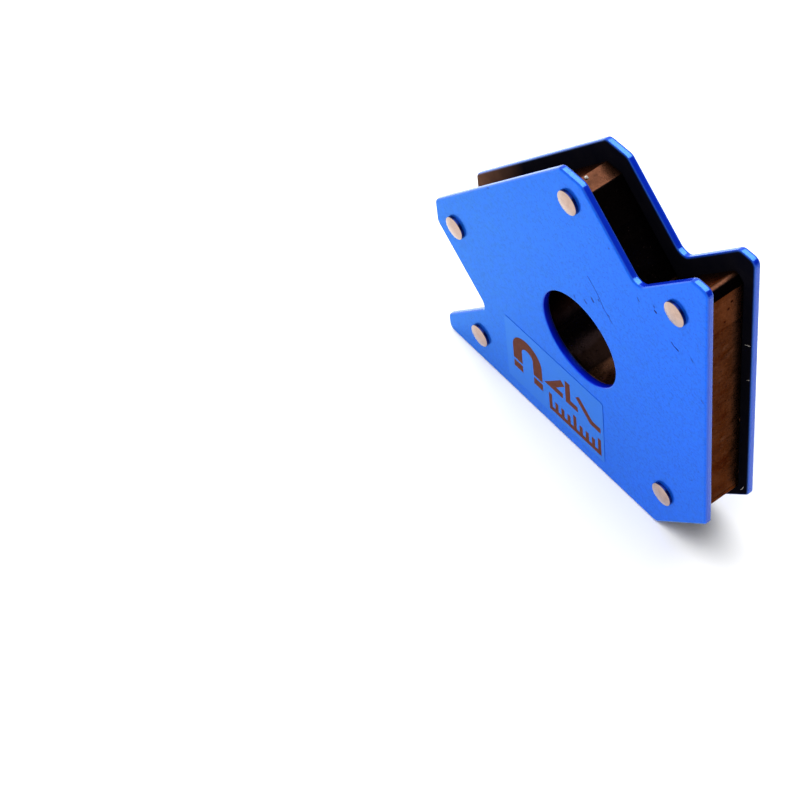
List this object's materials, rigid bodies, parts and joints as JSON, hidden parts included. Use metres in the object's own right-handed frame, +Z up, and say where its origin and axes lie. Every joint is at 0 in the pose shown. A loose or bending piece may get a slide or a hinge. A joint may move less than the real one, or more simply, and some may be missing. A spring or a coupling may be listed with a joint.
{
  "type": "welding magnet holder",
  "caption": "Arrow-shaped magnetic holder with straight, slanted and notched edges that grip steel parts at fixed angles for welding.",
  "frame": {"origin": "middle of the long lower working edge that the holder stands on, midway between the plates", "axes": "+Z up along the upright working edge, +X towards that edge, -Y towards the front plate"},
  "size_m": [0.125, 0.0218, 0.125],
  "materials": {
    "blue_enamel": "glossy enamel with a slight orange peel",
    "ferrite": "ground and pitted, with a brown bloom",
    "spacer_steel": "sawn steel with a brown bloom",
    "rivet_steel": "bright nickel plating with light tool marks",
    "label_film": "clear film with a faint haze",
    "label_ink": "black print under the film",
    "adhesive": "pale hardened adhesive"
  },
  "bodies": {
    "root": {"front_plate": "blue_enamel", "rear_plate": "blue_enamel", "label": "label_film", "magnet_crown": "ferrite", "magnet_left": "ferrite", "magnet_right": "ferrite", "magnet_base": "ferrite", "spacer_top": "spacer_steel", "spacer_left": "spacer_steel", "spacer_upper_horn": "spacer_steel", "spacer_lower_horn": "spacer_steel", "spacer_corner": "spacer_steel", "rivet_top": "rivet_steel", "rivet_left": "rivet_steel", "rivet_upper_horn": "rivet_steel", "rivet_lower_horn": "rivet_steel", "rivet_corner": "rivet_steel"}
  },
  "joints": []
}
